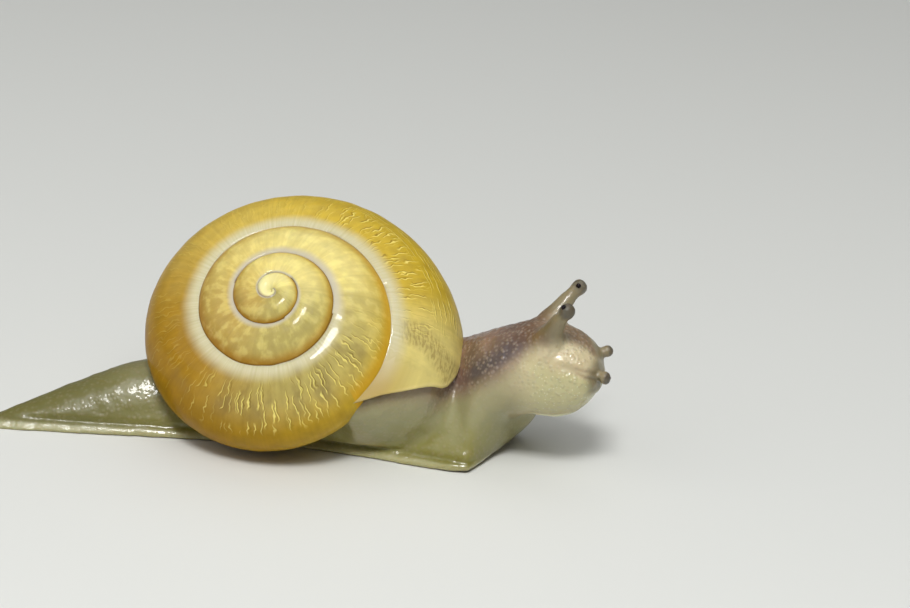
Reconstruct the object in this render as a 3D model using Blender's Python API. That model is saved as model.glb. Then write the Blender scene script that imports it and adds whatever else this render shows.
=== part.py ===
# Garden snail, a still life-size model: the body creeps over the floor with its front
# raised, and the shell leans over the right side of the foot.
# Sizes are in millimetres until a mesh is made.  +X is the way the snail faces, +Y is
# its left side, +Z is up, and the sole lies at z = 0 with the origin under the shell.
import math

import bmesh
import bpy
from mathutils import Matrix, Vector

MM = 0.001
sharp_angle = math.radians(50.0)
merge_distance = 0.002

# ---- shell: a tube that grows round a leaning axis, right-handed ----
lip_radius = 9.23            # axis to the outside of the whorl, at the lip
turns = 4.2                  # from the apex to the lip
growth_log = 0.3546          # natural log of the growth in one turn, at the lip
growth_change = -0.1472      # how that growth rises toward the apex
growth_curl = 0.004
tube_share = 0.4986          # half the tube's width over the whorl's radius
tube_swell = 0.0852          # the last part of the tube is this much wider
swell_reach = 0.5            # length of that part, in turns
tube_height = 0.966          # height of the tube over its width
tube_lean = math.radians(-12.6)
spire_slope = 0.878          # drop along the axis over the growth in radius
spire_blunt = 1.4            # rounds the apex off
last_drop = 1.14             # the same part dips by this much
lip_bearing = math.radians(-9.4)
axis_rise = math.radians(44.6)
axis_turn = math.radians(-12.3)
apex_place = Vector((-2.11, -6.36, 10.4))
rings_per_turn = 36
tube_sides = 28
lip_back = -0.077            # mean place of the lip, in turns
lip_slant = 0.146            # how far the lip leans, in turns
lip_slant_from = math.radians(10.0)
lip_bends = ((0.45, 0.12, 0.013), (1.0, 0.25, -0.011), (1.5, 0.15, 0.035))   # angle, reach, turns
slant_reach = 0.36           # length of tube whose rings lean over to that slant, in turns
lip_wall = 0.89              # inside of the lip over its outside
lip_recess = 0.02            # depth of the recess behind the lip, in turns
back_swell = 0.32            # how far the whorl stands out behind, opposite the lip
back_swell_turn = -0.57
back_swell_reach = 0.17
first_ring = (0.5, 0.02)     # size and distance behind of the ring that closes the apex
core_profile = (             # the pillar round the axis: depth below the apex, radius
    (1.32, 0.22), (1.5, 0.40), (4.0, 1.15), (6.5, 1.8), (8.2, 1.6), (8.8, 0.9),
)
shell_voxel = 0.16
shell_facet_share = 0.048

# ---- body: ribs from the tip of the tail to the snout ----
# the middle of the sole, the top of the back, half the width, and how far the rib has
# the outline of the creeping foot (1) or of the round neck and head (0)
body_ribs = (
    (-17.35, -3.85, 0.00, -17.30, -3.85, 0.26, 0.22, 1.00),
    (-16.20, -3.25, 0.00, -16.20, -3.25, 0.55, 0.85, 1.00),
    (-14.20, -2.45, 0.00, -14.20, -2.45, 1.25, 1.55, 1.00),
    (-11.60, -1.60, 0.00, -11.60, -1.60, 2.30, 2.25, 1.00),
    (-8.60, -0.80, 0.00, -8.60, -0.80, 3.25, 2.80, 1.00),
    (-4.50, -0.20, 0.00, -4.50, -0.20, 3.30, 3.20, 1.00),
    (-0.50, -0.05, 0.00, -0.50, -0.05, 2.90, 3.35, 1.00),
    (3.50, -0.55, 0.00, 3.40, -0.10, 3.00, 3.45, 1.00),
    (6.60, -1.20, 0.00, 6.20, 0.20, 4.60, 3.55, 1.00),
    (9.90, -1.90, 0.00, 8.00, 0.00, 5.66, 3.50, 0.85),
    (10.95, -2.35, 1.25, 9.30, -0.90, 6.60, 3.00, 0.45),
    (11.25, -2.70, 2.55, 10.60, -1.85, 7.42, 2.60, 0.15),
    (12.10, -3.00, 3.05, 11.90, -2.70, 8.06, 2.40, 0.00),
    (13.30, -3.30, 3.15, 13.30, -3.25, 7.95, 2.30, 0.00),
    (14.40, -3.60, 3.65, 14.45, -3.58, 7.48, 2.00, 0.00),
    (15.10, -3.75, 4.50, 15.15, -3.75, 6.78, 1.45, 0.00),
    (15.45, -3.80, 5.40, 15.45, -3.80, 5.95, 0.45, 0.00),
)
# half of the creeping foot's outline, from the middle of the sole round to the back:
# width share and height share
foot_outline = (
    (0.00, 0.00), (0.38, 0.00), (0.74, 0.00), (0.96, 0.00), (1.00, 0.05), (0.92, 0.16),
    (0.80, 0.36), (0.66, 0.60), (0.48, 0.82), (0.25, 0.96), (0.00, 1.00),
)
rings_per_rib = 3
heading_step = 0.6           # share of a rib's length over which its heading is read
joint_gap = 0.08             # thin cut between two lengths of the body
tail_end = 4.0
rear_end = 5.5
middle_end = 9.0
neck_end = 11.0

# ---- the groove that parts the head from the front of the foot ----
groove_place = Vector((15.3, 0.0, 5.75))
groove_rise = math.radians(-12.0)

# ---- mantle: the collar of flesh that fills the mouth of the shell ----
mantle_foot_middle = Vector((3.2, -0.5, 1.7))
mantle_foot_length = 4.4
mantle_foot_width = 2.75
mantle_share = 0.93          # its width in the mouth over the tube's
mantle_steps = (0.25, 0.5, 0.75, 1.0)

# ---- feelers ----
upper_radii = (1.15, 0.88, 0.56, 0.42, 0.36, 0.42, 0.38, 0.20)
upper_steps = (0.0, 0.18, 0.42, 0.66, 0.80, 0.90, 0.97, 1.0)
# each path is the root, the bend and the tip
upper_right_path = (Vector((12.4, -4.1, 7.05)), Vector((12.7, -4.8, 8.5)), Vector((13.36, -5.74, 9.92)))
upper_left_path = (Vector((12.4, -2.35, 7.1)), Vector((13.05, -1.85, 8.55)), Vector((14.15, -1.30, 9.78)))
lower_radii = (0.42, 0.33, 0.27, 0.27, 0.31, 0.29, 0.14)
lower_steps = (0.0, 0.25, 0.5, 0.7, 0.84, 0.95, 1.0)
lower_right_path = (Vector((14.35, -4.35, 6.0)), Vector((15.1, -4.6, 5.92)), Vector((15.72, -4.85, 5.9)))
lower_left_path = (Vector((14.5, -3.15, 6.45)), Vector((15.15, -3.05, 6.62)), Vector((15.85, -2.95, 6.76)))
feeler_sides = 12
feeler_rings = 14
ball_sides = 12
ball_rows = 8
eye_radius = 0.14
bulb_depth = 0.34            # middle of the bulb behind the tip of its feeler
# from the middle of the bulb to the middle of the eye, which stands just proud of the skin
eye_right_offset = Vector((-0.20, -0.17, 0.245))
eye_left_offset = Vector((-0.06, -0.31, 0.17))
touch_gap = 0.06             # between a piece and the one it is set on

# ---- lips ----
lips_place = Vector((15.3, -3.82, 5.62))
lips_size = Vector((0.42, 0.42, 0.38))
lips_turn = math.radians(-6.0)


def clear_scene():
    for old in list(bpy.data.objects):
        bpy.data.objects.remove(old, do_unlink=True)


def make_material(name, colour, roughness):
    material = bpy.data.materials.new(name)
    material.use_nodes = True
    shader = material.node_tree.nodes["Principled BSDF"]
    shader.inputs["Base Color"].default_value = (*colour, 1.0)
    shader.inputs["Roughness"].default_value = roughness
    shader.inputs["Metallic"].default_value = 0.0
    return material


def add_piece(name, points, faces, material):
    mesh = bpy.data.meshes.new(name)
    mesh.from_pydata([tuple(point * MM) for point in points], [], faces)
    work = bmesh.new()
    work.from_mesh(mesh)
    bmesh.ops.remove_doubles(work, verts=work.verts, dist=merge_distance * MM)
    bmesh.ops.recalc_face_normals(work, faces=work.faces)
    work.to_mesh(mesh)
    work.free()
    mesh.materials.append(material)
    mesh.shade_smooth()
    mesh.set_sharp_from_angle(angle=sharp_angle)
    piece = bpy.data.objects.new(name, mesh)
    bpy.context.scene.collection.objects.link(piece)
    return piece


def grown_cutter(name, piece, gap):
    """A copy of a piece that is larger by the gap on every side, kept as a cutter."""
    cutter = piece.copy()
    cutter.name = name
    depsgraph = bpy.context.evaluated_depsgraph_get()
    cutter.data = bpy.data.meshes.new_from_object(piece.evaluated_get(depsgraph))
    cutter.modifiers.clear()
    bpy.context.scene.collection.objects.link(cutter)
    work = bmesh.new()
    work.from_mesh(cutter.data)
    work.normal_update()
    for vertex in work.verts:
        vertex.co += vertex.normal * gap * MM
    work.to_mesh(cutter.data)
    work.free()
    cutter.hide_render = True
    cutter.display_type = 'WIRE'
    return cutter


def cut(piece, cutter):
    boolean = piece.modifiers.new("cut by " + cutter.name, 'BOOLEAN')
    boolean.operation = 'DIFFERENCE'
    boolean.solver = 'EXACT'
    boolean.object = cutter


def stitch_rings(rings, closed_start=True, closed_end=True):
    """Quads between rings of equal length, and a many-sided face on each end."""
    sides = len(rings[0])
    points = [point for ring in rings for point in ring]
    faces = []
    for row in range(len(rings) - 1):
        for side in range(sides):
            following = (side + 1) % sides
            faces.append((row * sides + side, row * sides + following,
                          (row + 1) * sides + following, (row + 1) * sides + side))
    if closed_start:
        faces.append(tuple(range(sides))[::-1])
    if closed_end:
        first = (len(rings) - 1) * sides
        faces.append(tuple(range(first, first + sides)))
    return points, faces


def smooth_read(rows, place):
    """A row between the rows of a table, on a curve that passes through them."""
    last = len(rows) - 1
    place = min(max(place, 0.0), float(last))
    at = min(int(place), last - 1)
    share = place - at
    before = rows[max(at - 1, 0)]
    start = rows[at]
    end = rows[at + 1]
    after = rows[min(at + 2, last)]
    values = []
    for a, b, c, d in zip(before, start, end, after):
        slope_b = 0.5 * (c - a)
        slope_c = 0.5 * (d - b)
        squared = share * share
        cubed = squared * share
        values.append(b * (2 * cubed - 3 * squared + 1) + slope_b * (cubed - 2 * squared + share)
                      + c * (3 * squared - 2 * cubed) + slope_c * (cubed - squared))
    return values


# ---- shell ----

def shell_frame():
    lean = math.pi / 2 - axis_rise
    turned = Matrix.Rotation(axis_turn, 4, 'Z') @ Matrix.Rotation(lean, 4, 'X')
    return Matrix.Translation(apex_place) @ turned


def whorl_radius(turn):
    return lip_radius * math.exp(growth_log * turn + 0.5 * growth_change * turn ** 2 + growth_curl * turn ** 3)


def tube_point(turn, angle, share=1.0):
    """A point of the tube: turn is 0 at the lip, angle 0 faces away from the axis."""
    radius = whorl_radius(turn)
    near_lip = min(max((turn + swell_reach) / swell_reach, 0.0), 1.0)
    half = radius * tube_share * (1.0 + tube_swell * near_lip ** 2)
    middle = radius - half
    drop = ((spire_slope * radius) ** 3 + spire_blunt ** 3) ** (1.0 / 3.0) + last_drop * near_lip ** 2
    out = share * half * math.cos(angle)
    up = share * half * tube_height * math.sin(angle)
    across = middle + out * math.cos(tube_lean) - up * math.sin(tube_lean)
    swell = back_swell * math.exp(-((turn - back_swell_turn) / back_swell_reach) ** 2)
    across += swell * max(math.cos(angle), 0.0)
    height = -drop + out * math.sin(tube_lean) + up * math.cos(tube_lean)
    bearing = lip_bearing - 2.0 * math.pi * turn
    return Vector((across * math.cos(bearing), across * math.sin(bearing), height))


def lip_turn(angle):
    """Where the lip lies at an angle round the tube: a slanting line with a few gentle bends."""
    turn = lip_back + lip_slant * math.sin(angle - lip_slant_from)
    for middle, reach, depth in lip_bends:
        turn += depth * math.exp(-((angle - middle) / reach) ** 2)
    return turn


def tube_ring(turn, share=1.0, behind=0.0):
    """A ring of the tube; the last rings lean over to the slant of the lip."""
    slant = min(max((turn + slant_reach) / slant_reach, 0.0), 1.0)
    ring = []
    for side in range(tube_sides):
        angle = 2.0 * math.pi * side / tube_sides
        ring.append(tube_point(turn + slant * lip_turn(angle) - behind, angle, share))
    return ring


def core_rings():
    """The pillar round the axis, which fills what the tube leaves open there."""
    rings = []
    for depth, radius in core_profile:
        ring = []
        for side in range(tube_sides):
            angle = 2.0 * math.pi * side / tube_sides
            ring.append(Vector((radius * math.cos(angle), -radius * math.sin(angle), -depth)))
        rings.append(ring)
    return rings


def build_shell(material):
    """The whole tube and its pillar, whose overlapping walls a fine remesh makes one."""
    count = int(turns * rings_per_turn)
    rings = [tube_ring(-turns, *first_ring)]
    rings += [tube_ring(-turns + turns * step / count) for step in range(count + 1)]
    rings.append(tube_ring(0.0, lip_wall))
    rings.append(tube_ring(0.0, lip_wall, lip_recess))
    points, faces = stitch_rings(rings)
    core_points, core_faces = stitch_rings(core_rings())
    first = len(points)
    points += core_points
    faces += [tuple(first + corner for corner in face) for face in core_faces]
    frame = shell_frame()
    shell = add_piece("shell", [frame @ point for point in points], faces, material)
    remesh = shell.modifiers.new("whorls into one", 'REMESH')
    remesh.mode = 'VOXEL'
    remesh.voxel_size = shell_voxel * MM
    remesh.use_smooth_shade = True
    fewer = shell.modifiers.new("fewer facets", 'DECIMATE')
    fewer.ratio = shell_facet_share
    return shell


# ---- body ----

def outline_half(foot_share):
    """Width and height shares from the sole round to the back, between foot and round."""
    steps = len(foot_outline) - 1
    half = []
    for step, (foot_width, foot_height) in enumerate(foot_outline):
        angle = math.pi * step / steps - math.pi / 2
        round_width = math.cos(angle) ** 0.9
        round_height = 0.5 + 0.5 * math.sin(angle)
        width = round_width + (foot_width - round_width) * foot_share
        half.append((width, round_height + (foot_height - round_height) * foot_share))
    return half


def rib_ring(place):
    """A closed ring across the body, from the sole up its left side and down its right."""
    sole_x, sole_y, sole_z, back_x, back_y, back_z, half_width, foot_share = smooth_read(body_ribs, place)
    ahead = smooth_read(body_ribs, place + heading_step)
    behind = smooth_read(body_ribs, place - heading_step)
    forward = ahead[0] + ahead[3] - behind[0] - behind[3]
    leftward = ahead[1] + ahead[4] - behind[1] - behind[4]
    heading = Vector((forward, leftward, 0.0))
    heading.normalize()
    left = Vector((-heading.y, heading.x, 0.0))
    sole = Vector((sole_x, sole_y, max(sole_z, 0.0)))
    back = Vector((back_x, back_y, back_z))
    half = outline_half(min(max(foot_share, 0.0), 1.0))
    ring = [sole.lerp(back, height) + left * half_width * width for width, height in half]
    ring += [sole.lerp(back, height) - left * half_width * width for width, height in half[-2:0:-1]]
    return ring


def body_length(name, start, end, material):
    """A length of the body between two rib places, with a thin gap left at each cut end."""
    count = max(2, int(round((end - start) * rings_per_rib)))
    rings = [rib_ring(start + (end - start) * step / count) for step in range(count + 1)]
    for ring, toward in ((rings[0], rings[1]), (rings[-1], rings[-2])):
        if ring is rings[0] and start == 0.0:
            continue
        if ring is rings[-1] and end == len(body_ribs) - 1:
            continue
        for side in range(len(ring)):
            step = toward[side] - ring[side]
            ring[side] = ring[side] + step * min(0.9, 0.5 * joint_gap / max(step.length, joint_gap))
    points, faces = stitch_rings(rings)
    return add_piece(name, points, faces, material)


def split_front(name, keep_upper, material):
    """The head or the front of the foot: the same ribs, parted along a sloping groove."""
    piece = body_length(name, neck_end, len(body_ribs) - 1, material)
    up = Vector((-math.sin(groove_rise), 0.0, math.cos(groove_rise)))
    shift = 0.5 * joint_gap if keep_upper else -0.5 * joint_gap
    work = bmesh.new()
    work.from_mesh(piece.data)
    bmesh.ops.bisect_plane(
        work, geom=work.verts[:] + work.edges[:] + work.faces[:], plane_co=(groove_place + up * shift) * MM,
        plane_no=up, clear_inner=keep_upper, clear_outer=not keep_upper)
    open_edges = [edge for edge in work.edges if edge.is_boundary]
    bmesh.ops.edgeloop_fill(work, edges=open_edges)
    bmesh.ops.recalc_face_normals(work, faces=work.faces)
    work.to_mesh(piece.data)
    work.free()
    return piece


def build_mantle(material):
    """Flesh that fills the shell's mouth and narrows down into the foot."""
    frame = shell_frame()
    lip = [frame @ point for point in tube_ring(0.0, mantle_share)]
    inside = [frame @ point for point in tube_ring(0.0, mantle_share, lip_recess)]
    middle = sum(lip, Vector()) / len(lip)
    bottom = []
    for point in lip:
        bearing = math.atan2(point.y - middle.y, point.x - middle.x)
        spread = Vector((mantle_foot_length * math.cos(bearing), mantle_foot_width * math.sin(bearing), 0.0))
        bottom.append(mantle_foot_middle + spread)
    rings = [inside, lip]
    for share in mantle_steps:
        eased = share * share * (1.5 - 0.5 * share)
        ring = []
        for top, low in zip(lip, bottom):
            point = top.lerp(low, eased)
            point.z = top.z + (low.z - top.z) * share
            ring.append(point)
        rings.append(ring)
    points, faces = stitch_rings(rings)
    return add_piece("mantle_collar", points, faces, material)


# ---- feelers, eyes and lips ----

def path_point(path, share):
    """A point on the curve through a feeler's root, bend and tip."""
    root, bend, tip = path
    control = bend * 2.0 - (root + tip) * 0.5
    return root * (1.0 - share) ** 2 + control * (2.0 * share * (1.0 - share)) + tip * share ** 2


def radius_at(steps, radii, share):
    for start, end, low, high in zip(steps, steps[1:], radii, radii[1:]):
        if share <= end:
            part = (share - start) / (end - start)
            return low + (high - low) * part
    return radii[-1]


def feeler(name, path, steps, radii, material):
    rings = []
    shares = sorted(set([step / feeler_rings for step in range(feeler_rings - 1)] + list(steps[-4:])))
    for share in shares:
        along = path_point(path, min(share + 0.01, 1.0)) - path_point(path, max(share - 0.01, 0.0))
        along.normalize()
        side = along.cross(Vector((0.0, 0.0, 1.0))).normalized()
        lift = side.cross(along)
        radius = radius_at(steps, radii, share)
        ring = []
        for corner in range(feeler_sides):
            angle = 2.0 * math.pi * corner / feeler_sides
            ring.append(path_point(path, share) + (side * math.cos(angle) + lift * math.sin(angle)) * radius)
        rings.append(ring)
    points, faces = stitch_rings(rings)
    return add_piece(name, points, faces, material)


def ball(name, place, size, material, turn=0.0):
    """A round or egg-shaped piece, with its long axis turned about the vertical."""
    rings = []
    for row in range(1, ball_rows):
        rise = math.pi * row / ball_rows - math.pi / 2
        ring = []
        for corner in range(ball_sides):
            angle = 2.0 * math.pi * corner / ball_sides
            spot = Vector((size.x * math.cos(rise) * math.cos(angle), size.y * math.cos(rise) * math.sin(angle),
                           size.z * math.sin(rise)))
            ring.append(place + Matrix.Rotation(turn, 3, 'Z') @ spot)
        rings.append(ring)
    points, faces = stitch_rings(rings, False, False)
    points.append(place - Vector((0.0, 0.0, size.z)))
    points.append(place + Vector((0.0, 0.0, size.z)))
    top_row = (ball_rows - 2) * ball_sides
    for corner in range(ball_sides):
        following = (corner + 1) % ball_sides
        faces.append((len(points) - 2, following, corner))
        faces.append((len(points) - 1, top_row + corner, top_row + following))
    return add_piece(name, points, faces, material)


def build_feelers(head, lobe, flesh, dark):
    head_space = grown_cutter("head_space", head, touch_gap)
    lobe_space = grown_cutter("foot_front_space", lobe, touch_gap)
    upper_feelers = (
        ("right", upper_right_path, eye_right_offset),
        ("left", upper_left_path, eye_left_offset),
    )
    for side, path, eye_offset in upper_feelers:
        stalk = feeler("upper_tentacle_" + side, path, upper_steps, upper_radii, flesh)
        cut(stalk, head_space)
        cut(stalk, lobe_space)
        tip = path_point(path, 1.0)
        along = (tip - path_point(path, 0.97)).normalized()
        place = tip - along * bulb_depth + eye_offset
        eye = ball("eye_" + side, place, Vector((1.0, 1.0, 1.0)) * eye_radius, dark)
        cut(stalk, grown_cutter("eye_space_" + side, eye, 0.5 * touch_gap))
    for side, path in (("right", lower_right_path), ("left", lower_left_path)):
        stalk = feeler("lower_tentacle_" + side, path, lower_steps, lower_radii, flesh)
        cut(stalk, head_space)
        cut(stalk, lobe_space)
    lips = ball("lips", lips_place, lips_size, flesh, lips_turn)
    cut(lips, head_space)
    cut(lips, lobe_space)


def main():
    clear_scene()
    horn = make_material("yellow shell", (0.62, 0.44, 0.10), 0.25)
    flesh = make_material("wet grey skin", (0.46, 0.41, 0.30), 0.35)
    pale = make_material("pale sole and tail", (0.56, 0.54, 0.42), 0.35)
    dark = make_material("dark eye", (0.02, 0.015, 0.02), 0.15)

    shell = build_shell(horn)
    shell_space = grown_cutter("shell_space", shell, touch_gap)
    mantle = build_mantle(flesh)
    cut(mantle, shell_space)
    mantle_space = grown_cutter("mantle_space", mantle, touch_gap)

    tail = body_length("tail", 0.0, tail_end, pale)
    rear = body_length("foot_rear", tail_end, rear_end, pale)
    middle = body_length("foot_middle", rear_end, middle_end, pale)
    neck = body_length("neck", middle_end, neck_end, flesh)
    for piece in (tail, rear, middle, neck):
        cut(piece, shell_space)
        if piece is not tail:
            cut(piece, mantle_space)
    head = split_front("head", True, flesh)
    lobe = split_front("foot_front", False, pale)
    build_feelers(head, lobe, flesh, dark)


main()
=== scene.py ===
import math

import bpy
import numpy as np
from mathutils import Matrix, Vector, noise


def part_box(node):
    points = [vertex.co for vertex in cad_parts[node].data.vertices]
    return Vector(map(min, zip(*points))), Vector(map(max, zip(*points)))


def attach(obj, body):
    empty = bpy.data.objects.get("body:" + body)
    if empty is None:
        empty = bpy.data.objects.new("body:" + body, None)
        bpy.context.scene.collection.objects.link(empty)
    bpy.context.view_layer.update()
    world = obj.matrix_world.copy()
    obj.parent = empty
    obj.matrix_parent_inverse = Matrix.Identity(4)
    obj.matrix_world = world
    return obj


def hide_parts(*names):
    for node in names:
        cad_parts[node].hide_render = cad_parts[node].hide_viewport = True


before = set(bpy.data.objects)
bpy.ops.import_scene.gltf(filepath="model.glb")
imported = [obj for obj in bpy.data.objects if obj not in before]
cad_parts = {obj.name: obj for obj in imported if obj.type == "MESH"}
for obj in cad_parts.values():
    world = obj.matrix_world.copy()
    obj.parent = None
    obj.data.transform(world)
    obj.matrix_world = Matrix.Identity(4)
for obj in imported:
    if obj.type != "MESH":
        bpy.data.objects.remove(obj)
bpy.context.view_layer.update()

# A young yellow garden snail on the move.  Pieces are shaped in millimetres, then brought to metres.
millimetre = 0.001


# ---- small helpers ----

def linearColour(hexText):
    channels = [int(hexText[place:place + 2], 16) / 255 for place in (1, 3, 5)]
    return [c / 12.92 if c <= 0.04045 else ((c + 0.055) / 1.055) ** 2.4 for c in channels] + [1.0]


def addNode(tree, kind, inputs=None, stops=(), **settings):
    # an input is a number, a colour, a socket, or a node for its first output
    made = tree.nodes.new(kind)
    for name, value in settings.items():
        setattr(made, name, value)
    for number, (place, colour) in enumerate(stops):
        stop = made.color_ramp.elements[number] if number < 2 else made.color_ramp.elements.new(place)
        stop.position = place
        stop.color = linearColour(colour)
    for name, value in (inputs or {}).items():
        socket = made.inputs[name]
        if isinstance(value, bpy.types.Node):
            value = value.outputs[0]
        if isinstance(value, bpy.types.NodeSocket):
            tree.links.new(value, socket)
        elif isinstance(value, str):
            socket.default_value = linearColour(value)
        else:
            socket.default_value = value
    return made


smooth = {"interpolation_type": 'SMOOTHSTEP'}     # for a Map Range that eases in and out


def newMaterial(name):
    material = bpy.data.materials.new(name)
    material.use_nodes = True
    return material, material.node_tree, material.node_tree.nodes["Principled BSDF"]


def selectOnly(*pieces):
    bpy.ops.object.select_all(action='DESELECT')
    for piece in pieces:
        piece.select_set(True)
    bpy.context.view_layer.objects.active = pieces[0]


def applyModifier(piece, kind, **settings):
    selectOnly(piece)
    modifier = piece.modifiers.new(kind.lower(), kind)
    for name, value in settings.items():
        setattr(modifier, name, value)
    bpy.ops.object.modifier_apply(modifier=modifier.name)


def pointsOf(piece):
    points = np.empty(len(piece.data.vertices) * 3)
    piece.data.vertices.foreach_get("co", points)
    return points.reshape(-1, 3)


def normalsOf(piece):
    normals = np.empty(len(piece.data.vertices) * 3)
    piece.data.vertices.foreach_get("normal", normals)
    return normals.reshape(-1, 3)


def movePoints(piece, points):
    piece.data.vertices.foreach_set("co", np.asarray(points, float).ravel())
    piece.data.update()


def keepValues(piece, name, values):
    values = np.asarray(values, np.float32)
    kind = 'FLOAT' if values.ndim == 1 else 'FLOAT_VECTOR'
    attribute = piece.data.attributes.new(name, kind, 'POINT')
    attribute.data.foreach_set("value" if values.ndim == 1 else "vector", values.ravel())


def blend(value, low, high):
    share = np.clip((value - low) / (high - low), 0.0, 1.0)
    return share * share * (3 - 2 * share)


def rolledSheet(name, rings):
    # a flat grid, rolled up so that each of its rows becomes one ring of a tube
    rows, sides = rings.shape[:2]
    bpy.ops.object.select_all(action='DESELECT')
    bpy.ops.mesh.primitive_grid_add(x_subdivisions=sides, y_subdivisions=rows - 1, size=2)
    piece = bpy.context.object
    piece.name = name
    piece.data.name = name
    flat = pointsOf(piece)
    column = np.rint((flat[:, 0] + 1) * 0.5 * sides).astype(int) % sides
    row = np.rint((flat[:, 1] + 1) * 0.5 * (rows - 1)).astype(int)
    movePoints(piece, rings[row, column])
    return piece, row, column


def closeSheet(piece):
    selectOnly(piece)
    bpy.ops.object.mode_set(mode='EDIT')
    bpy.ops.mesh.select_all(action='SELECT')
    bpy.ops.mesh.remove_doubles(threshold=0.0005)
    bpy.ops.mesh.normals_make_consistent(inside=False)
    bpy.ops.object.mode_set(mode='OBJECT')


def finishPiece(piece, material, slot, *nodes):
    # brings a piece from millimetres to metres, at the origin, and sets it on the body
    selectOnly(piece)
    piece.scale = (millimetre, millimetre, millimetre)
    bpy.ops.object.transform_apply(location=True, rotation=True, scale=True)
    bpy.ops.object.shade_smooth()
    piece.data.materials.clear()
    piece.data.materials.append(material)
    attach(piece, "root")
    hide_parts(*nodes)


# ---- shell ----

shellSizes = {
    "lipRadius": 9.23,           # axis to the outside of the whorl, at the lip
    "turns": 4.2,
    "growth": (0.3546, -0.1472, 0.004),
    "tubeShare": 0.4986, "tubeHeight": 0.966, "tubeLean": math.radians(-12.6),
    "swell": 0.0852, "swellReach": 0.5, "lastDrop": 1.14,
    "spireSlope": 0.878, "spireBlunt": 1.4,
    "backSwell": 0.32, "backSwellTurn": -0.57, "backSwellReach": 0.17,
    "lipBearing": math.radians(-9.4),
    "lipBack": -0.077, "lipSlant": 0.146, "lipSlantFrom": math.radians(10.0), "slantReach": 0.36,
    "axisRise": math.radians(44.6), "axisTurn": math.radians(-12.3), "apex": (-2.11, -6.36, 10.4),
    "sides": 84, "fineRings": 330, "coarseRings": 150, "fineTurns": 1.3,
    "wall": 0.20, "hiddenShare": 0.90, "apexRings": 8, "apexReach": 0.14,
    "seam": -2.0,                # the tube's sheet closes here, under the base
    # angle, reach and turns of the lip's bends
    "lipBends": ((0.42, 0.11, 0.0095), (0.60, 0.15, 0.012), (1.0, 0.25, -0.011), (1.5, 0.15, 0.035)),
    "lipWave": 0.0022, "undulation": 0.022,
    # width of the cream band: turn, radians
    "creamWidths": ((-4.2, 0.07), (-2.2, 0.09), (-1.8, 0.13), (-1.1, 0.15), (-0.95, 0.22), (-0.6, 0.21),
                    (-0.34, 0.155), (-0.07, 0.17)),
    # the shell's pigments and its painted light; shellMaterial works out where each lies: amber is painted
    # shade on the side away from the light, gold is painted light on the side towards it
    "shadedSideAmber": "#966E0A", "litSideGold": "#CCAC36", "straw": "#DECE84",
    "khaki": "#A2965A", "lemon": "#BE9F22", "sand": "#D6C880",
    "lightTurn": -0.13, "lowTurn": -0.90,   # the turns that face the light, and the floor
    # how much the skin of the shell is wrinkled, from 1.1 turns behind the lip to the lip
    "wrinkled": ((0.045, "#000000"), (0.12, "#FFFFFF"), (0.30, "#FFFFFF"), (0.40, "#6C6C6C"),
                 (0.74, "#6C6C6C"), (0.80, "#FFFFFF"), (0.94, "#FFFFFF"), (0.975, "#000000")),
}


def tubeShape(turn):
    s = shellSizes
    log, change, curl = s["growth"]
    radius = s["lipRadius"] * np.exp(log * turn + 0.5 * change * turn ** 2 + curl * turn ** 3)
    nearLip = np.clip((turn + s["swellReach"]) / s["swellReach"], 0.0, 1.0) ** 2
    half = radius * s["tubeShare"] * (1 + s["swell"] * nearLip)
    drop = ((s["spireSlope"] * radius) ** 3 + s["spireBlunt"] ** 3) ** (1 / 3) + s["lastDrop"] * nearLip
    return half, radius - half, drop


def tubePlane(turn, angle, share=1.0):
    # distance from the axis and height along it; angle 0 faces away from the axis, 90 degrees to the apex
    s = shellSizes
    half, middle, drop = tubeShape(turn)
    out = share * half * np.cos(angle)
    up = share * half * s["tubeHeight"] * np.sin(angle)
    across = middle + out * math.cos(s["tubeLean"]) - up * math.sin(s["tubeLean"])
    swell = s["backSwell"] * np.exp(-((turn - s["backSwellTurn"]) / s["backSwellReach"]) ** 2)
    across = across + swell * np.maximum(np.cos(angle), 0.0)
    return across, out * math.sin(s["tubeLean"]) + up * math.cos(s["tubeLean"]) - drop


def tubePoints(turn, angle, share=1.0):
    across, height = tubePlane(turn, angle, share)
    bearing = shellSizes["lipBearing"] - 2 * math.pi * turn
    local = np.stack([across * np.cos(bearing), across * np.sin(bearing), height], -1)
    return local @ shellTurn.T + shellPlace


def lipTurn(angle):
    s = shellSizes
    wave = s["lipWave"] * (np.sin(3 * angle + 1.0) + 0.6 * np.sin(8 * angle))
    bends = sum(depth * np.exp(-((angle - middle) / reach) ** 2) for middle, reach, depth in s["lipBends"])
    return s["lipBack"] + s["lipSlant"] * np.sin(angle - s["lipSlantFrom"]) + wave + bends


def wallShare(across, height, turn):
    # 1 on the wall of the tube at that turn, less inside it; and the angle round that tube
    s = shellSizes
    half, middle, drop = tubeShape(turn)
    x, y = across - middle, height + drop
    out = (x * math.cos(s["tubeLean"]) + y * math.sin(s["tubeLean"])) / half
    up = (-x * math.sin(s["tubeLean"]) + y * math.cos(s["tubeLean"])) / (half * s["tubeHeight"])
    return np.hypot(out, up), np.arctan2(up, out)


def wallsAround(turn, angle):
    # how far a point of the tube lies inside the whorl before it and the whorl after it
    across, height = tubePlane(turn, angle)
    before = wallShare(across, height, turn - 1)[0]
    before = np.where(turn - 1 < -shellSizes["turns"], 9.0, before)
    after, afterAngle = wallShare(across, height, turn + 1)
    after = np.where(turn + 1 > lipTurn(afterAngle), 9.0, after)
    return before, after


def sutures(turn):
    # angles where this whorl meets the whorl before it (above) and the whorl after it (below)
    angles = np.linspace(0.0, math.pi, 721)
    before, after = wallsAround(turn[:, None], angles[None, :])
    inner = np.where((before < 1) & (angles > 0.9), angles, math.pi).min(1)
    outer = np.where((after < 1) & (angles < 2.0), angles, -math.pi / 2).max(1)
    return inner, outer


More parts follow.
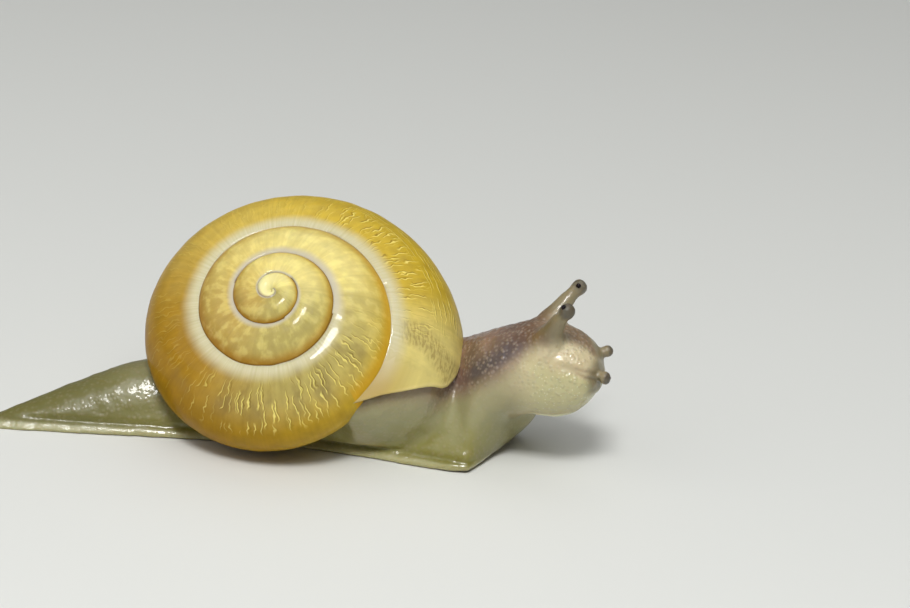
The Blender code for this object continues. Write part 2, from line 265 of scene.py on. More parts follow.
lean = math.pi / 2 - shellSizes["axisRise"]
shellTurn = np.array(Matrix.Rotation(shellSizes["axisTurn"], 3, 'Z') @ Matrix.Rotation(lean, 3, 'X'))
shellPlace = np.array(shellSizes["apex"])


def growShell():
    s = shellSizes
    fine = int(s["fineTurns"] * s["fineRings"])
    coarse = int((s["turns"] - s["fineTurns"]) * s["coarseRings"])
    rounding = np.linspace(0.0, math.pi / 2, s["apexRings"] + 1)[:-1]
    turn = np.concatenate([-s["turns"] - s["apexReach"] * np.cos(rounding),
                           np.linspace(-s["turns"], -s["fineTurns"], coarse)[:-1],
                           np.linspace(-s["fineTurns"], 0.0, fine)])
    share = np.concatenate([np.sin(rounding), np.ones(len(turn) - len(rounding))])
    angle = np.linspace(0.0, 2 * math.pi, s["sides"], endpoint=False)
    angle = np.where(angle > 2 * math.pi + s["seam"], angle - 2 * math.pi, angle)
    slant = np.clip((turn + s["slantReach"]) / s["slantReach"], 0.0, 1.0)
    trueTurn = turn[:, None] + slant[:, None] * lipTurn(angle)[None, :]
    rings = tubePoints(trueTurn, angle[None, :], share[:, None])
    piece, row, column = rolledSheet("shell_whorls", rings)

    u, a = trueTurn[row, column], angle[column]
    half = tubeShape(u)[0]
    table = np.linspace(-s["turns"], 0.0, 600)
    innerTable, outerTable = sutures(table)
    inner, outer = np.interp(u, table, innerTable), np.interp(u, table, outerTable)
    along = np.interp(u, table, np.cumsum((tubeShape(table)[0] * 2) * 2 * math.pi * (table[1] - table[0])))
    creamWidth = np.interp(u, *zip(*s["creamWidths"]))
    behindLip = (lipTurn(a) - u) * 2 * math.pi * half * 2
    keepValues(piece, "growth", np.stack([along, a * half, u], -1))
    keepValues(piece, "edges", np.stack([(inner - a) / creamWidth, a - outer, behindLip], -1))
    keepValues(piece, "around", a)
    keepValues(piece, "wall", np.minimum(1.0, half / 1.4))

    # low waves of growth, across the whorls
    ripple = np.array([noise.noise((mm * 1.1, bearing * 0.9, 0.0)) for mm, bearing in zip(along, a)])
    outward = tubePoints(u, a, 1.001) - tubePoints(u, a, 0.999)
    outward /= np.maximum(np.linalg.norm(outward, axis=1), 1e-9)[:, None]
    wavy = s["undulation"] * np.minimum(1.0, half / 2) * (u > -s["turns"])
    movePoints(piece, pointsOf(piece) + outward * (ripple * wavy)[:, None])

    before, after = wallsAround(u, a)
    hidden = np.minimum(before, after) < s["hiddenShare"]
    selectOnly(piece)
    bpy.ops.object.mode_set(mode='EDIT')
    bpy.ops.mesh.select_all(action='DESELECT')
    bpy.ops.object.mode_set(mode='OBJECT')
    piece.data.vertices.foreach_set("select", hidden)
    bpy.ops.object.mode_set(mode='EDIT')
    bpy.ops.mesh.select_mode(type='VERT')
    bpy.ops.mesh.delete(type='VERT')
    bpy.ops.mesh.select_all(action='SELECT')
    bpy.ops.mesh.remove_doubles(threshold=0.0005)
    bpy.ops.mesh.normals_make_consistent(inside=False)
    bpy.ops.object.mode_set(mode='OBJECT')

    group = piece.vertex_groups.new(name="wall")
    values = np.empty(len(piece.data.vertices), np.float32)
    piece.data.attributes["wall"].data.foreach_get("value", values)
    for number, value in enumerate(values):
        group.add([number], float(value), 'REPLACE')
    piece.data.attributes.remove(piece.data.attributes["wall"])
    applyModifier(piece, 'SOLIDIFY', thickness=s["wall"], offset=-1, vertex_group="wall", use_rim=True)
    piece.vertex_groups.clear()
    return piece


def shellMaterial():
    # Horn and lime laid down in thin layers, wet: glossy and see-through, gold where light passes the rim;
    # the gold of the lit side and the amber of the shaded side are painted light and shade
    material, tree, shader = newMaterial("wet translucent snail shell")
    # growth: mm along, mm across and turn; edges: from the inner suture, the outer one and the lip;
    # around: 0 on the rim and 1.57 on top
    growth = addNode(tree, 'ShaderNodeAttribute', attribute_name="growth").outputs["Vector"]
    grown = addNode(tree, 'ShaderNodeSeparateXYZ', {0: growth})
    edges = addNode(tree, 'ShaderNodeAttribute', attribute_name="edges").outputs["Vector"]
    edge = addNode(tree, 'ShaderNodeSeparateXYZ', {0: edges})
    around = addNode(tree, 'ShaderNodeAttribute', attribute_name="around").outputs["Fac"]
    turn = grown.outputs[2]

    # growth striae 0.2 mm apart, blotches some 2 mm wide and patches under 1 mm
    striaeMap = addNode(tree, 'ShaderNodeMapping', {"Vector": growth, "Scale": (5.0, 0.16, 0.0)})
    striae = addNode(tree, 'ShaderNodeTexNoise', {"Vector": striaeMap, "Scale": 1.0, "Detail": 3.0})
    blotchMap = addNode(tree, 'ShaderNodeMapping', {"Vector": growth, "Scale": (0.75, 0.42, 0.0)})
    blotch = addNode(tree, 'ShaderNodeTexNoise', {"Vector": blotchMap, "Scale": 1.0, "Detail": 4.0})
    patchMap = addNode(tree, 'ShaderNodeMapping',
                       {"Vector": growth, "Scale": (1.3, 1.3, 0.0), "Location": (7, 3, 0)})
    patch = addNode(tree, 'ShaderNodeTexNoise', {"Vector": patchMap, "Scale": 1.0, "Detail": 3.0})

    def strokes(cell, narrow, bend, present):
        # a wavy stroke in each cell of a net, cell mm along and across the whorl: lit and shaded side
        waves = addNode(tree, 'ShaderNodeTexNoise', {"Vector": growth, "Scale": 2.0, "Detail": 1.0})
        shift = addNode(tree, 'ShaderNodeMath', {0: waves, 1: bend, 2: -0.5 * bend}, operation='MULTIPLY_ADD')
        moved = addNode(tree, 'ShaderNodeVectorMath', {0: growth, 1: shift}, operation='ADD')
        net = addNode(tree, 'ShaderNodeMapping', {"Vector": moved, "Scale": (1 / cell[0], 1 / cell[1], 0)})
        cells = addNode(tree, 'ShaderNodeTexVoronoi', {"Vector": net, "Scale": 1.0}, voronoi_dimensions='2D')
        away = addNode(tree, 'ShaderNodeVectorMath', {0: net, 1: cells.outputs["Position"]},
                       operation='SUBTRACT')
        parts = addNode(tree, 'ShaderNodeSeparateXYZ', {0: away})
        reach = addNode(tree, 'ShaderNodeMath', {0: parts.outputs[1 - narrow]}, operation='ABSOLUTE')
        ends = addNode(tree, 'ShaderNodeMapRange', {0: reach, 1: 0.52, 2: 0.20}, **smooth)
        chance = addNode(tree, 'ShaderNodeSeparateColor', {0: cells.outputs["Color"]})
        kept = addNode(tree, 'ShaderNodeMapRange', {0: chance, 1: 1 - present, 2: 1.15 - present})
        whole = addNode(tree, 'ShaderNodeMath', {0: ends, 1: kept}, operation='MULTIPLY')
        sides = []
        for place in (0.0, 0.25):
            off = addNode(tree, 'ShaderNodeMath', {0: parts.outputs[narrow], 1: place}, operation='ADD')
            size = addNode(tree, 'ShaderNodeMath', {0: off}, operation='ABSOLUTE')
            line = addNode(tree, 'ShaderNodeMapRange', {0: size, 1: 0.15, 2: 0.03}, **smooth)
            sides.append(addNode(tree, 'ShaderNodeMath', {0: line, 1: whole}, operation='MULTIPLY'))
        return sides

    # wrinkles some 1 mm long: across the whorl, and along it near the rim behind the lip; each has a painted
    # highlight on its lit side and painted shade on its other side
    turnPlace = addNode(tree, 'ShaderNodeMapRange', {0: turn, 1: -1.1, 2: 0.0})
    wrinkled = addNode(tree, 'ShaderNodeValToRGB', {0: turnPlace}, stops=shellSizes["wrinkled"])
    zoneLow = addNode(tree, 'ShaderNodeMapRange', {0: around, 1: 0.48, 2: 0.74}, **smooth)
    zoneHigh = addNode(tree, 'ShaderNodeMapRange', {0: around, 1: 1.50, 2: 1.32}, **smooth)
    zoned = addNode(tree, 'ShaderNodeMath', {0: zoneLow, 1: zoneHigh}, operation='MULTIPLY')
    litPart = addNode(tree, 'ShaderNodeMapRange', {0: around, 1: 1.35, 2: 1.08, 3: 0.6, 4: 1.0})
    shadedPart = addNode(tree, 'ShaderNodeMapRange', {0: around, 1: 0.85, 2: 1.08, 3: 0.4, 4: 1.0})
    rimTurn = addNode(tree, 'ShaderNodeMapRange', {0: turn, 1: -0.27, 2: -0.20}, **smooth)
    rimEnd = addNode(tree, 'ShaderNodeMapRange', {0: turn, 1: -0.04, 2: -0.07}, **smooth)
    rimAround = addNode(tree, 'ShaderNodeMapRange', {0: around, 1: 1.0, 2: 0.85}, **smooth)
    rimBelow = addNode(tree, 'ShaderNodeMapRange', {0: around, 1: 0.20, 2: 0.45}, **smooth)
    rimEnds = addNode(tree, 'ShaderNodeMath', {0: rimTurn, 1: rimEnd}, operation='MULTIPLY')
    rimWide = addNode(tree, 'ShaderNodeMath', {0: rimAround, 1: rimBelow}, operation='MULTIPLY')
    rimZone = addNode(tree, 'ShaderNodeMath', {0: rimEnds, 1: rimWide}, operation='MULTIPLY')
    # the two kinds don't cross
    apart = addNode(tree, 'ShaderNodeMapRange', {0: rimZone, 3: 1.0, 4: 0.0})
    across = addNode(tree, 'ShaderNodeMath', {0: wrinkled, 1: apart}, operation='MULTIPLY')
    zone = addNode(tree, 'ShaderNodeMath', {0: zoned, 1: across}, operation='MULTIPLY')
    lit, shaded = strokes((0.34, 1.35), 0, 0.6, 0.75)
    rimLit, rimShaded = strokes((2.0, 0.26), 1, 0.35, 0.7)
    litZone = addNode(tree, 'ShaderNodeMath', {0: zone, 1: litPart}, operation='MULTIPLY')
    shadedZone = addNode(tree, 'ShaderNodeMath', {0: zone, 1: shadedPart}, operation='MULTIPLY')
    litHere = addNode(tree, 'ShaderNodeMath', {0: lit, 1: litZone}, operation='MULTIPLY')
    shadedHere = addNode(tree, 'ShaderNodeMath', {0: shaded, 1: shadedZone}, operation='MULTIPLY')
    rimLitHere = addNode(tree, 'ShaderNodeMath', {0: rimLit, 1: rimZone}, operation='MULTIPLY')
    rimShadedHere = addNode(tree, 'ShaderNodeMath', {0: rimShaded, 1: rimZone}, operation='MULTIPLY')
    bright = addNode(tree, 'ShaderNodeMath', {0: litHere, 1: rimLitHere}, operation='MAXIMUM')
    dark = addNode(tree, 'ShaderNodeMath', {0: shadedHere, 1: rimShadedHere}, operation='MAXIMUM')

    # painted light and shade: amber on the side away from the light and gold on the side towards it; straw up
    # by the seam, with more of it on the lit side as painted light; khaki where the flesh shows through from
    # below, lemon on the newest half whorl and sand behind the lip
    wobble = addNode(tree, 'ShaderNodeMath', {0: blotch, 1: 0.30, 2: -0.15}, operation='MULTIPLY_ADD')
    uneven = addNode(tree, 'ShaderNodeMath', {0: around, 1: wobble}, operation='ADD')
    unevenTurn = addNode(tree, 'ShaderNodeMath', {0: wobble, 1: 0.25, 2: turn}, operation='MULTIPLY_ADD')
    waves = []
    for facing in ("lightTurn", "lowTurn"):
        start = -2 * math.pi * shellSizes[facing]
        angle = addNode(tree, 'ShaderNodeMath', {0: unevenTurn, 1: 2 * math.pi, 2: start},
                        operation='MULTIPLY_ADD')
        waves.append(addNode(tree, 'ShaderNodeMath', {0: angle}, operation='COSINE'))
    litSideShare = addNode(tree, 'ShaderNodeMapRange', {0: waves[0], 1: -1.0, 2: 0.6})
    low = addNode(tree, 'ShaderNodeMapRange', {0: waves[1], 1: 0.1, 2: 1.0, 4: 0.8}, **smooth)
    upward = addNode(tree, 'ShaderNodeMapRange', {0: uneven, 1: 0.45, 2: 1.35}, **smooth)
    older = addNode(tree, 'ShaderNodeMapRange', {0: turn, 1: -0.95, 2: -1.15, 3: 0.05, 4: 0.35}, **smooth)
    strawPart = addNode(tree, 'ShaderNodeMath', {0: litSideShare, 1: 0.6, 2: older}, operation='MULTIPLY_ADD')
    strawDose = addNode(tree, 'ShaderNodeMath', {0: strawPart, 1: upward}, operation='MULTIPLY')
    khakiDose = addNode(tree, 'ShaderNodeMath', {0: low, 1: upward}, operation='MULTIPLY')
    lemonDose = addNode(tree, 'ShaderNodeMapRange', {0: turn, 1: -0.50, 2: -0.22, 4: 0.85}, **smooth)
    sandDose = addNode(tree, 'ShaderNodeMapRange', {0: turn, 1: -0.11, 2: -0.03, 4: 0.85}, **smooth)
    # pale islands on the inner whorls
    innerShare = addNode(tree, 'ShaderNodeMapRange', {0: turn, 1: -0.92, 2: -1.08, 4: 0.22}, **smooth)
    island = addNode(tree, 'ShaderNodeMapRange', {0: patch, 1: 0.46, 2: 0.62}, **smooth)
    islandDose = addNode(tree, 'ShaderNodeMath', {0: island, 1: innerShare}, operation='MULTIPLY')

    # brown-grey blotches of the body seen through the wall
    blotchShare = addNode(tree, 'ShaderNodeMapRange', {0: blotch, 1: 0.48, 2: 0.66}, **smooth)
    blotchLow = addNode(tree, 'ShaderNodeMapRange', {0: around, 1: 0.7, 2: 1.05}, **smooth)
    blotchTurn = addNode(tree, 'ShaderNodeMapRange', {0: turn, 1: -0.58, 2: -0.76, 3: 0.18, 4: 0.62},
                         **smooth)
    blotchOld = addNode(tree, 'ShaderNodeMapRange', {0: turn, 1: -1.08, 2: -0.95, 3: 0.12, 4: 0.8}, **smooth)
    blotchZone = addNode(tree, 'ShaderNodeMath', {0: blotchShare, 1: blotchLow}, operation='MULTIPLY')
    blotchPart = addNode(tree, 'ShaderNodeMath', {0: blotchZone, 1: blotchTurn}, operation='MULTIPLY')
    blotchDose = addNode(tree, 'ShaderNodeMath', {0: blotchPart, 1: blotchOld}, operation='MULTIPLY')

    # a band of short brown dashes just behind the lip, and the lip's own pale edge
    dashWide = addNode(tree, 'ShaderNodeMapRange', {0: around, 1: 1.10, 2: 0.65, 3: 0.0, 4: 0.020})
    dashTurn = addNode(tree, 'ShaderNodeMath', {0: turn, 1: dashWide}, operation='SUBTRACT')
    dashNear = addNode(tree, 'ShaderNodeMapRange', {0: dashTurn, 1: -0.060, 2: -0.046}, **smooth)
    dashFar = addNode(tree, 'ShaderNodeMapRange', {0: dashTurn, 1: -0.017, 2: -0.030}, **smooth)
    dashMap = addNode(tree, 'ShaderNodeMapping', {"Vector": growth, "Scale": (2.2, 7.5, 0.0)})
    dashes = addNode(tree, 'ShaderNodeTexNoise', {"Vector": dashMap, "Scale": 1.0, "Detail": 2.0})
    dashShare = addNode(tree, 'ShaderNodeMapRange', {0: dashes, 1: 0.42, 2: 0.62, 3: 0.22, 4: 0.62}, **smooth)
    dashZone = addNode(tree, 'ShaderNodeMath', {0: dashNear, 1: dashFar}, operation='MULTIPLY')
    dashDose = addNode(tree, 'ShaderNodeMath', {0: dashZone, 1: dashShare}, operation='MULTIPLY')
    rimPale = addNode(tree, 'ShaderNodeMapRange', {0: edge.outputs[2], 1: 0.45, 2: 0.10, 4: 0.5}, **smooth)

    s = shellSizes
    # the painted shade of the amber first, then the painted light of the gold and the other pigments over it
    colour = s["shadedSideAmber"]
    for dose, tone in ((litSideShare, s["litSideGold"]), (strawDose, s["straw"]), (khakiDose, s["khaki"]),
                       (lemonDose, s["lemon"]), (sandDose, s["sand"]), (islandDose, "#EADF8C"),
                       (blotchDose, "#7A6840"), (dashDose, "#86703E"), (rimPale, "#DCCB8C")):
        colour = addNode(tree, 'ShaderNodeMix', {0: dose, 6: colour, 7: tone}, data_type='RGBA').outputs[2]

    # fine lines across the whorl and soft mottling
    lineShade = addNode(tree, 'ShaderNodeMapRange', {0: striae, 1: 0.3, 2: 0.7, 3: 0.94, 4: 1.05})
    cloudy = addNode(tree, 'ShaderNodeMapRange', {0: patch, 1: 0.3, 2: 0.7, 3: 0.90, 4: 1.09})
    mottle = addNode(tree, 'ShaderNodeMath', {0: lineShade, 1: cloudy}, operation='MULTIPLY')
    colour = addNode(tree, 'ShaderNodeVectorMath', {0: colour, 1: mottle}, operation='MULTIPLY')
    # painted highlight on the wrinkles' lit sides and painted shade on their other sides
    paintedStrokeHighlight = addNode(tree, 'ShaderNodeMath', {0: bright, 1: 0.8}, operation='MULTIPLY')
    paintedStrokeShade = addNode(tree, 'ShaderNodeMath', {0: dark, 1: 0.6}, operation='MULTIPLY')

    # a cream band along the suture, an orange shade on the whorl inside it, and the thin brown suture line
    creamNew = addNode(tree, 'ShaderNodeValToRGB', {0: striae}, stops=((0.3, "#BFB892"), (0.7, "#CDC7A8")))
    inner = addNode(tree, 'ShaderNodeMapRange', {0: turn, 1: -0.98, 2: -1.06}, **smooth)
    creamTone = addNode(tree, 'ShaderNodeMix', {0: inner, 6: creamNew, 7: "#BEB6A0"}, data_type='RGBA')
    creamEdge = addNode(tree, 'ShaderNodeMath', {0: wobble, 1: 1.1, 2: edge}, operation='MULTIPLY_ADD')
    cream = addNode(tree, 'ShaderNodeMapRange', {0: creamEdge, 1: 1.45, 2: 0.30, 4: 0.95}, **smooth)
    # tan where the lip meets the whorl before it
    tanAround = addNode(tree, 'ShaderNodeMapRange', {0: around, 1: 1.0, 2: 1.32}, **smooth)
    tanTurn = addNode(tree, 'ShaderNodeMapRange', {0: turn, 1: -0.035, 2: 0.06, 4: 0.8}, **smooth)
    tanDose = addNode(tree, 'ShaderNodeMath', {0: tanAround, 1: tanTurn}, operation='MULTIPLY')
    shade = addNode(tree, 'ShaderNodeMapRange', {0: edge.outputs[1], 1: 0.40, 2: 0.03, 4: 0.75}, **smooth)
    onNewer = addNode(tree, 'ShaderNodeMapRange', {0: turn, 1: -1.22, 2: -1.06}, **smooth)
    orangeTone = addNode(tree, 'ShaderNodeMix', {0: onNewer, 6: "#A47420", 7: "#DCA626"}, data_type='RGBA')
    lineDose = addNode(tree, 'ShaderNodeMapRange', {0: onNewer, 3: 0.65, 4: 0.0})
    line = addNode(tree, 'ShaderNodeMapRange', {0: edge.outputs[1], 1: 0.085, 2: 0.03}, **smooth)
    lineShare = addNode(tree, 'ShaderNodeMath', {0: line, 1: lineDose}, operation='MULTIPLY')
    # the pale tip of the spire and the dark line round it
    nucleus = addNode(tree, 'ShaderNodeMapRange', {0: turn, 1: -3.05, 2: -3.5, 4: 0.95}, **smooth)
    tipLine = addNode(tree, 'ShaderNodeMapRange', {0: edge.outputs[1], 1: 0.45, 2: 0.10, 4: 0.8})
    tipPart = addNode(tree, 'ShaderNodeMapRange', {0: turn, 1: -3.35, 2: -3.65}, **smooth)
    tipDose = addNode(tree, 'ShaderNodeMath', {0: tipLine, 1: tipPart}, operation='MULTIPLY')
    # the wrinkles' painted highlight and painted shade first, then the cream band, tan, orange shade, suture
    # line and the tip of the spire
    for dose, tone in ((paintedStrokeHighlight, "#F4E480"), (paintedStrokeShade, "#6E5614"), (cream, creamTone.outputs[2]),
                       (tanDose, "#AC904A"), (shade, orangeTone.outputs[2]), (lineShare, "#755420"),
                       (nucleus, "#E6DDA0"), (tipDose, "#84706A")):
        colour = addNode(tree, 'ShaderNodeMix', {0: dose, 6: colour, 7: tone}, data_type='RGBA').outputs[2]
    tree.links.new(colour, shader.inputs["Base Color"])

    relief = addNode(tree, 'ShaderNodeMath', {0: striae, 1: 0.5, 2: bright}, operation='MULTIPLY_ADD')
    carved = addNode(tree, 'ShaderNodeMath', {0: dark, 1: -0.7, 2: relief}, operation='MULTIPLY_ADD')
    bump = addNode(tree, 'ShaderNodeBump', {"Height": carved, "Strength": 0.35, "Distance": 0.00004})
    tree.links.new(bump.outputs[0], shader.inputs["Normal"])
    shader.inputs["Roughness"].default_value = 0.35
    shader.inputs["IOR"].default_value = 1.5
    shader.inputs["Specular IOR Level"].default_value = 0.04
    polish = addNode(tree, 'ShaderNodeMapRange', {0: around, 1: 0.55, 2: 1.05, 3: 0.07, 4: 0.28})
    tree.links.new(polish.outputs[0], shader.inputs["Coat Weight"])
    shader.inputs["Coat Roughness"].default_value = 0.04
    shader.inputs["Subsurface Weight"].default_value = 0.25
    shader.inputs["Subsurface Radius"].default_value = (1.0, 0.7, 0.25)
    shader.inputs["Subsurface Scale"].default_value = 0.0005
    return material


# ---- body ----

bodySizes = {
    # the middle of the sole, the top of the back, half the width, and how far the rib has
    # the outline of the creeping foot (1) or of the round neck and head (0)
    "ribs": (
        (-17.35, -3.85, 0.00, -17.30, -3.85, 0.26, 0.22, 1.00),
        (-16.20, -3.25, 0.00, -16.20, -3.25, 0.55, 0.85, 1.00),
        (-14.20, -2.45, 0.00, -14.20, -2.45, 1.25, 1.55, 1.00),
        (-11.60, -1.60, 0.00, -11.60, -1.60, 2.30, 2.25, 1.00),
        (-8.60, -0.80, 0.00, -8.60, -0.80, 3.25, 2.80, 1.00),
        (-4.50, -0.20, 0.00, -4.50, -0.20, 3.30, 3.20, 1.00),
        (-0.50, -0.05, 0.00, -0.50, -0.05, 2.90, 3.35, 1.00),
        (3.50, -0.55, 0.00, 3.40, -0.10, 3.00, 3.45, 1.00),
        (6.60, -1.20, 0.00, 6.20, 0.20, 4.60, 3.55, 1.00),
        (9.90, -1.90, 0.00, 8.00, 0.00, 5.66, 3.50, 0.85),
        (10.95, -2.35, 1.25, 9.30, -0.90, 6.60, 3.00, 0.45),
        (11.25, -2.70, 2.55, 10.60, -1.85, 7.42, 2.60, 0.15),
        (12.10, -3.00, 3.05, 11.90, -2.70, 8.06, 2.40, 0.00),
        (13.30, -3.30, 3.15, 13.30, -3.25, 7.95, 2.30, 0.00),
        (14.40, -3.60, 3.65, 14.45, -3.58, 7.48, 2.00, 0.00),
        (15.10, -3.75, 4.50, 15.15, -3.75, 6.78, 1.45, 0.00),
        (15.45, -3.80, 5.40, 15.45, -3.80, 5.95, 0.45, 0.00),
    ),
    # half of the foot's outline from the middle of the sole to the back: width share, height share
    "outline": ((0.00, 0.00), (0.38, 0.00), (0.74, 0.00), (0.96, 0.00), (1.00, 0.05), (0.92, 0.16),
                (0.80, 0.36), (0.66, 0.60), (0.48, 0.82), (0.25, 0.96), (0.00, 1.00)),
    "ringsPerRib": 12, "halfSides": 36,
    "voxel": 0.100,
    "mouthSides": 96, "mouthShare": 0.93,
    "mouthMiddle": (3.4, -0.9, 0.7), "mouthLength": 6.1, "mouthWidth": 3.2,
}


def readCurve(rows, place):
    # a row between the rows of a table, on a curve that passes through them
    rows = np.asarray(rows, float)
    last = len(rows) - 1
    place = min(max(place, 0.0), last)
    at = min(int(place), last - 1)
    t = place - at
    before, start, end, after = (rows[min(max(at + step, 0), last)] for step in (-1, 0, 1, 2))
    slopeStart, slopeEnd = 0.5 * (end - before), 0.5 * (after - start)
    return (start * (2 * t ** 3 - 3 * t ** 2 + 1) + slopeStart * (t ** 3 - 2 * t ** 2 + t)
            + end * (3 * t ** 2 - 2 * t ** 3) + slopeEnd * (t ** 3 - t ** 2))


def bodyRing(place):
    s = bodySizes
    soleX, soleY, soleZ, backX, backY, backZ, width, foot = readCurve(s["ribs"], place)
    ahead, behind = readCurve(s["ribs"], place + 0.6), readCurve(s["ribs"], place - 0.6)
    heading = Vector((ahead[0] + ahead[3] - behind[0] - behind[3],
                      ahead[1] + ahead[4] - behind[1] - behind[4], 0)).normalized()
    left = np.array((-heading.y, heading.x, 0.0))
    sole = np.array((soleX, soleY, max(soleZ, 0.0)))
    back = np.array((backX, backY, backZ))
    foot = min(max(foot, 0.0), 1.0)
    half = []
    last = len(s["outline"]) - 1
    for step in range(s["halfSides"] + 1):
        spot = last * step / s["halfSides"]
        wide, high = readCurve(s["outline"], spot)
        turn = math.pi * spot / last - math.pi / 2
        roundWide, roundHigh = max(math.cos(turn), 0.0) ** 0.9, 0.5 + 0.5 * math.sin(turn)
        half.append((roundWide + (wide - roundWide) * foot, roundHigh + (max(high, 0.0) - roundHigh) * foot))
    ring = [sole + (back - sole) * high + left * width * wide for wide, high in half]
    ring += [sole + (back - sole) * high - left * width * wide for wide, high in half[-2:0:-1]]
    return np.array(ring)


def growBody():
    s = bodySizes
    last = len(s["ribs"]) - 1
    places = np.linspace(0.0, last, last * s["ringsPerRib"] + 1)
    rings = [bodyRing(place) for place in places]
    tip, snout = rings[0].mean(0), rings[-1].mean(0)
    rings = [np.tile(tip, (len(rings[0]), 1))] + rings + [np.tile(snout, (len(rings[0]), 1))]
    piece = rolledSheet("body", np.array(rings))[0]
    closeSheet(piece)
    return piece


def growMantle():
    # the collar of flesh that fills the mouth of the shell and narrows down into the foot
    s = bodySizes
    sides = s["mouthSides"]
    angle = np.linspace(0, 2 * math.pi, sides, endpoint=False)
    edge = tubePoints(lipTurn(angle), angle, s["mouthShare"])
    rings = [np.tile(tubePoints(lipTurn(angle) - 0.06, angle, 0.5).mean(0), (sides, 1)),
             tubePoints(lipTurn(angle) - 0.05, angle, 0.80),
             tubePoints(lipTurn(angle) - 0.02, angle, s["mouthShare"]), edge]
    middle = edge.mean(0)
    bearing = np.arctan2(edge[:, 1] - middle[1], edge[:, 0] - middle[0])
    bottom = np.array(s["mouthMiddle"]) + np.stack(
        [s["mouthLength"] * np.cos(bearing), s["mouthWidth"] * np.sin(bearing), 0 * bearing], -1)
    for share in np.linspace(0.1, 1.0, 10):
        eased = share * share * (1.5 - 0.5 * share)
        ring = edge + (bottom - edge) * eased
        ring[:, 2] = edge[:, 2] + (bottom[:, 2] - edge[:, 2]) * share
        rings.append(ring)
    rings.append(np.tile(bottom.mean(0), (sides, 1)))
    piece = rolledSheet("mantle", np.array(rings))[0]
    closeSheet(piece)
    return piece


feelerSizes = {
    "sides": 32,
    "upperRadii": (1.15, 0.88, 0.56, 0.42, 0.35, 0.41, 0.42, 0.35, 0.20, 0.0),
    "upperSteps": (0.0, 0.18, 0.42, 0.66, 0.79, 0.87, 0.93, 0.98, 1.01, 1.02),
    "lowerRadii": (0.46, 0.35, 0.27, 0.26, 0.30, 0.32, 0.30, 0.24, 0.15, 0.0),
    "lowerSteps": (0.0, 0.25, 0.5, 0.66, 0.75, 0.83, 0.91, 0.98, 1.03, 1.06),
    "paths": {     # root, bend and tip
        "upper_tentacle_right": ((12.4, -4.1, 7.05), (12.7, -4.8, 8.5), (13.36, -5.74, 9.92)),
        "upper_tentacle_left": ((12.4, -2.35, 7.1), (13.05, -1.85, 8.55), (14.15, -1.30, 9.78)),
        "lower_tentacle_right": ((14.35, -4.35, 6.0), (15.1, -4.6, 5.92), (15.72, -4.85, 5.9)),
        "lower_tentacle_left": ((14.5, -3.15, 6.45), (15.15, -3.05, 6.62), (15.85, -2.95, 6.76)),
    },
}


def pathPoint(path, share):
    root, bend, tip = (np.array(point) for point in path)
    control = bend * 2 - (root + tip) * 0.5
    return root * (1 - share) ** 2 + control * (2 * share * (1 - share)) + tip * share ** 2


def growFeeler(name, path):
    upper = name.startswith("upper")
    steps = feelerSizes["upperSteps" if upper else "lowerSteps"]
    radii = feelerSizes["upperRadii" if upper else "lowerRadii"]
    rings = []
    for share in np.concatenate([np.linspace(0, 0.85, 26), np.linspace(0.87, steps[-1], 18)]):
        spot = np.interp(share, steps, np.arange(len(steps)))
        radius = max(readCurve(np.array(radii)[:, None], spot)[0], 0.0)
        along = Vector(pathPoint(path, share + 0.01) - pathPoint(path, share - 0.01)).normalized()
        side = along.cross(Vector((0, 0, 1))).normalized()
        lift = side.cross(along)
        turn = np.linspace(0, 2 * math.pi, feelerSizes["sides"], endpoint=False)[:, None]
        circle = np.cos(turn) * np.array(side) + np.sin(turn) * np.array(lift)
        rings.append(pathPoint(path, share) + radius * circle)
    rings.insert(0, np.tile(rings[0].mean(0), (feelerSizes["sides"], 1)))
    piece = rolledSheet(name, np.array(rings))[0]
    closeSheet(piece)
    return piece


skinSizes = {
    "joinSmoothing": 200, "smoothing": 4,
    "rimRise": 0.03, "soleStep": 0.05,              # thin edge of the raised sole, and the step inside it
    "foldRows": 1.6, "foldRise": 0.035,             # soft folds, 1/mm and mm
    "knobRows": 3.0, "knobRise": 0.055,             # tubercles
    "edgeGroove": (0.62, 0.16, 0.09),               # height above the floor, width and depth
    "headMiddle": (13.3, -3.3), "headHeading": math.radians(-14.0),
    "lipGroove": ((13.3, -5.37, 6.48), (13.86, -5.39, 6.33), (14.45, -5.33, 6.08), (15.0, -4.99, 5.83),
                  (15.31, -4.36, 5.46), (15.5, -3.8, 5.38)),
    "cheekGroove": ((12.9, -5.33, 6.66), (13.7, -5.40, 6.55), (14.45, -5.22, 6.36), (15.05, -4.88, 6.16)),
    "lipSpots": 60, "cheekSpots": 40,
}


def spotsAlong(path, count):
    return np.array([readCurve(path, place) for place in np.linspace(0, len(path) - 1, count)])


def distanceTo(points, spots):
    # distance to the nearest spot, and how far along the spots it is
    best, along = np.full(len(points), 1e9), np.zeros(len(points))
    for number, spot in enumerate(spots):
        away = np.linalg.norm(points - spot, axis=1)
        closer = away < best
        best[closer], along[closer] = away[closer], number / (len(spots) - 1)
    return best, along


def otherSide(path):
    # the same line on the other side of the head
    s = skinSizes
    across = np.array((-math.sin(s["headHeading"]), math.cos(s["headHeading"]), 0.0))
    middle = np.array((*s["headMiddle"], 0.0))
    path = np.array(path)
    return path - 2 * ((path - middle) @ across)[:, None] * across


